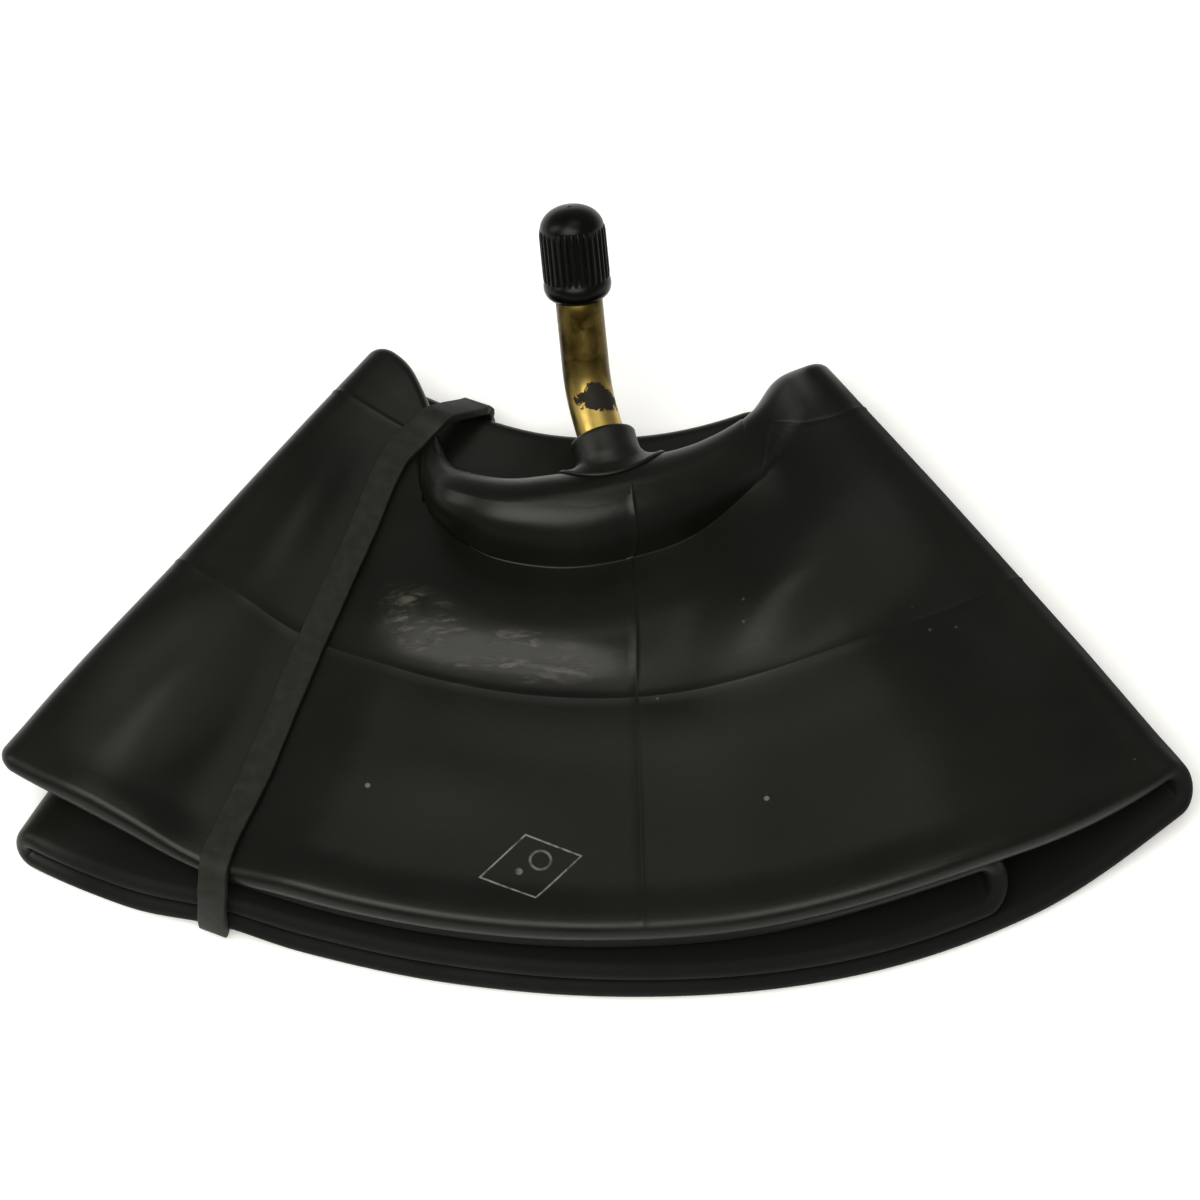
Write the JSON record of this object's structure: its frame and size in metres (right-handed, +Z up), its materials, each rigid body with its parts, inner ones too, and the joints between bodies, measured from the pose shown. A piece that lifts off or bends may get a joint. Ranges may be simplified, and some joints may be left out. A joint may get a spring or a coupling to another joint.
{
  "type": "inner tube",
  "caption": "Deflated rubber inner tube for a small wheel, pressed flat, folded into a fan under a rubber band, with a bent brass valve and screw cap.",
  "frame": {"origin": "middle of the folded tube's footprint, on the surface that it lies on", "axes": "+X along the folded tube's long side, the valve's cap towards +Y and up, +Z up"},
  "size_m": [0.1961, 0.1259, 0.0508],
  "materials": {
    "butyl_rubber": "satin",
    "valve_rubber": "satin",
    "band_rubber": "matte",
    "seal_rubber": "matte",
    "red_seal": "matte",
    "brass": "worn satin",
    "core_brass": "satin",
    "spring_steel": "bright",
    "cap_plastic": "satin"
  },
  "bodies": {
    "tube_body": {"tube": "butyl_rubber", "valve_patch": "butyl_rubber", "valve_base": "valve_rubber", "valve_stem": "brass", "rubber_band": "band_rubber"},
    "cap_rise": {"cap_seal": "red_seal"},
    "cap": {"dust_cap": "cap_plastic"},
    "core": {"core_barrel": "core_brass", "core_gasket": "red_seal", "core_spring_cup": "core_brass", "core_spring": "spring_steel"},
    "plug": {"core_plug": "core_brass"},
    "pin": {"core_pin": "core_brass", "core_cup": "core_brass", "core_seal": "seal_rubber"}
  },
  "joints": [
    {"name": "cap_lift", "type": "slide", "parent": "tube_body", "child": "cap_rise", "axis": [-0.0938, 0.6285, 0.7721], "range_m": [0, 0.0095]},
    {"name": "cap_turn", "type": "hinge", "parent": "cap_rise", "child": "cap", "pos_m": [-0.00436, 0.05594, 0.04374], "axis": [-0.0938, 0.6285, 0.7721], "range_deg": [0, 4320]},
    {"name": "core_lift", "type": "slide", "parent": "tube_body", "child": "core", "axis": [-0.0938, 0.6285, 0.7721], "range_m": [0, 0.0028]},
    {"name": "core_turn", "type": "hinge", "parent": "core", "child": "plug", "pos_m": [-0.00436, 0.05594, 0.04374], "axis": [-0.0938, 0.6285, 0.7721], "range_deg": [0, 1440]},
    {"name": "core_press", "type": "slide", "parent": "core", "child": "pin", "axis": [0.0938, -0.6285, -0.7721], "range_m": [0, 0.0012], "stiffness_N_per_m": 500, "springref_m": -0.001, "deforming": ["core_spring"]}
  ],
  "couplings": [
    {"joint": "cap_turn", "follows": "cap_lift", "rad_per_m": 7915.8},
    {"joint": "core_turn", "follows": "core_lift", "rad_per_m": 8905.2}
  ]
}
